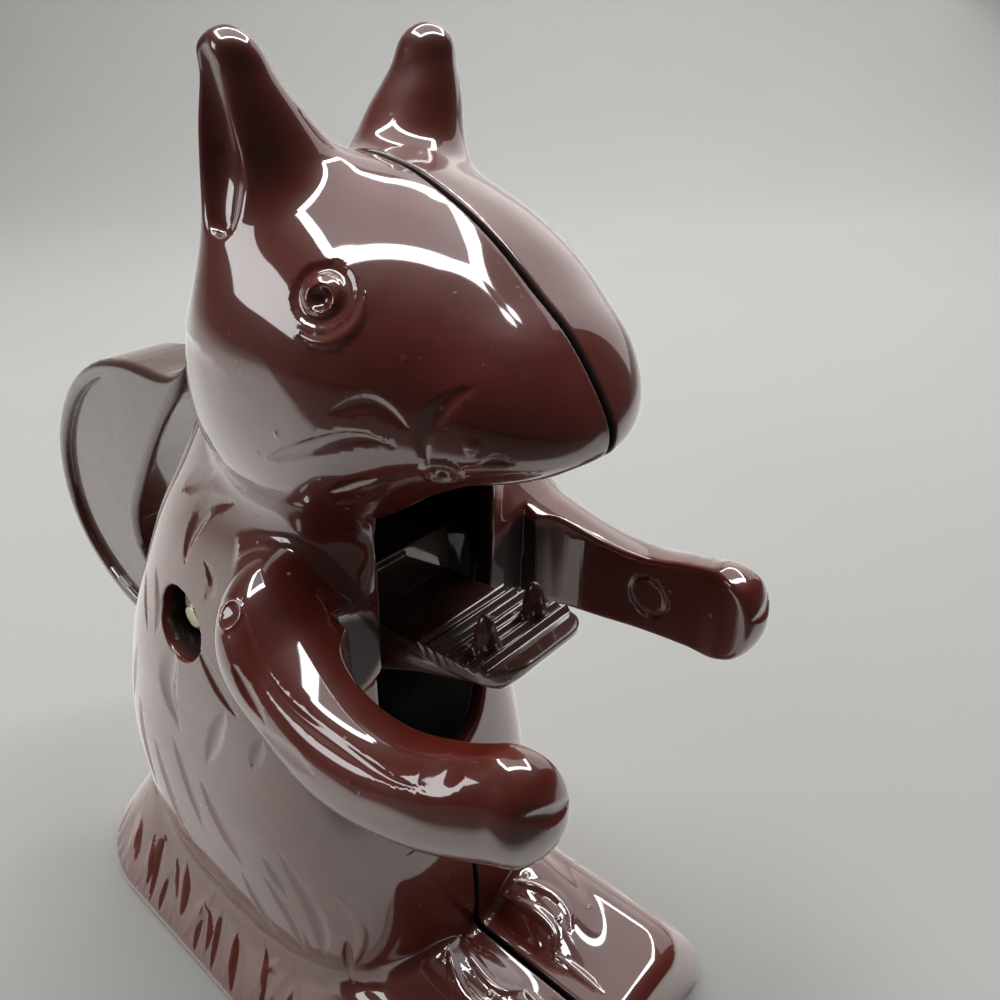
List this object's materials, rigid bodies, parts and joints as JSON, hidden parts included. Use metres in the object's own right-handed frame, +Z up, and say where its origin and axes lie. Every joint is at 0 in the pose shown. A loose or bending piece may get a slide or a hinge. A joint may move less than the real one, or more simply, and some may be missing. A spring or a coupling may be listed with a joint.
{
  "type": "lever nutcracker press",
  "caption": "Squirrel-shaped lever nutcracker in hollow split castings on a plinth; the tail is the lever that lifts a ribbed, spiked jaw towards the flat jaw under the head.",
  "frame": {"origin": "on the standing plane, on the middle plane and half way along the whole length from the paws to the rear of the tail", "axes": "+Z up, -Y the way the squirrel faces, +X its left; the pivot bolt lies along X"},
  "size_m": [0.085, 0.2002, 0.208],
  "materials": {
    "enamel": "gloss red-brown enamel on a casting",
    "zinc_plate": "zinc plated, slightly yellow"
  },
  "bodies": {
    "castings": {"right_half": "enamel", "left_half": "enamel", "pivot_bolt": "zinc_plate", "pivot_nut": "zinc_plate", "bolt_washers": "zinc_plate", "lever_washers": "zinc_plate", "case_screws": "zinc_plate", "locating_pins": "zinc_plate"},
    "lever": {"tail_lever": "enamel"}
  },
  "joints": [
    {"name": "lever_pivot", "type": "hinge", "parent": "castings", "child": "lever", "pos_m": [0, -0.006, 0.104], "axis": [-1, 0, 0], "range_deg": [-8, 24]}
  ]
}
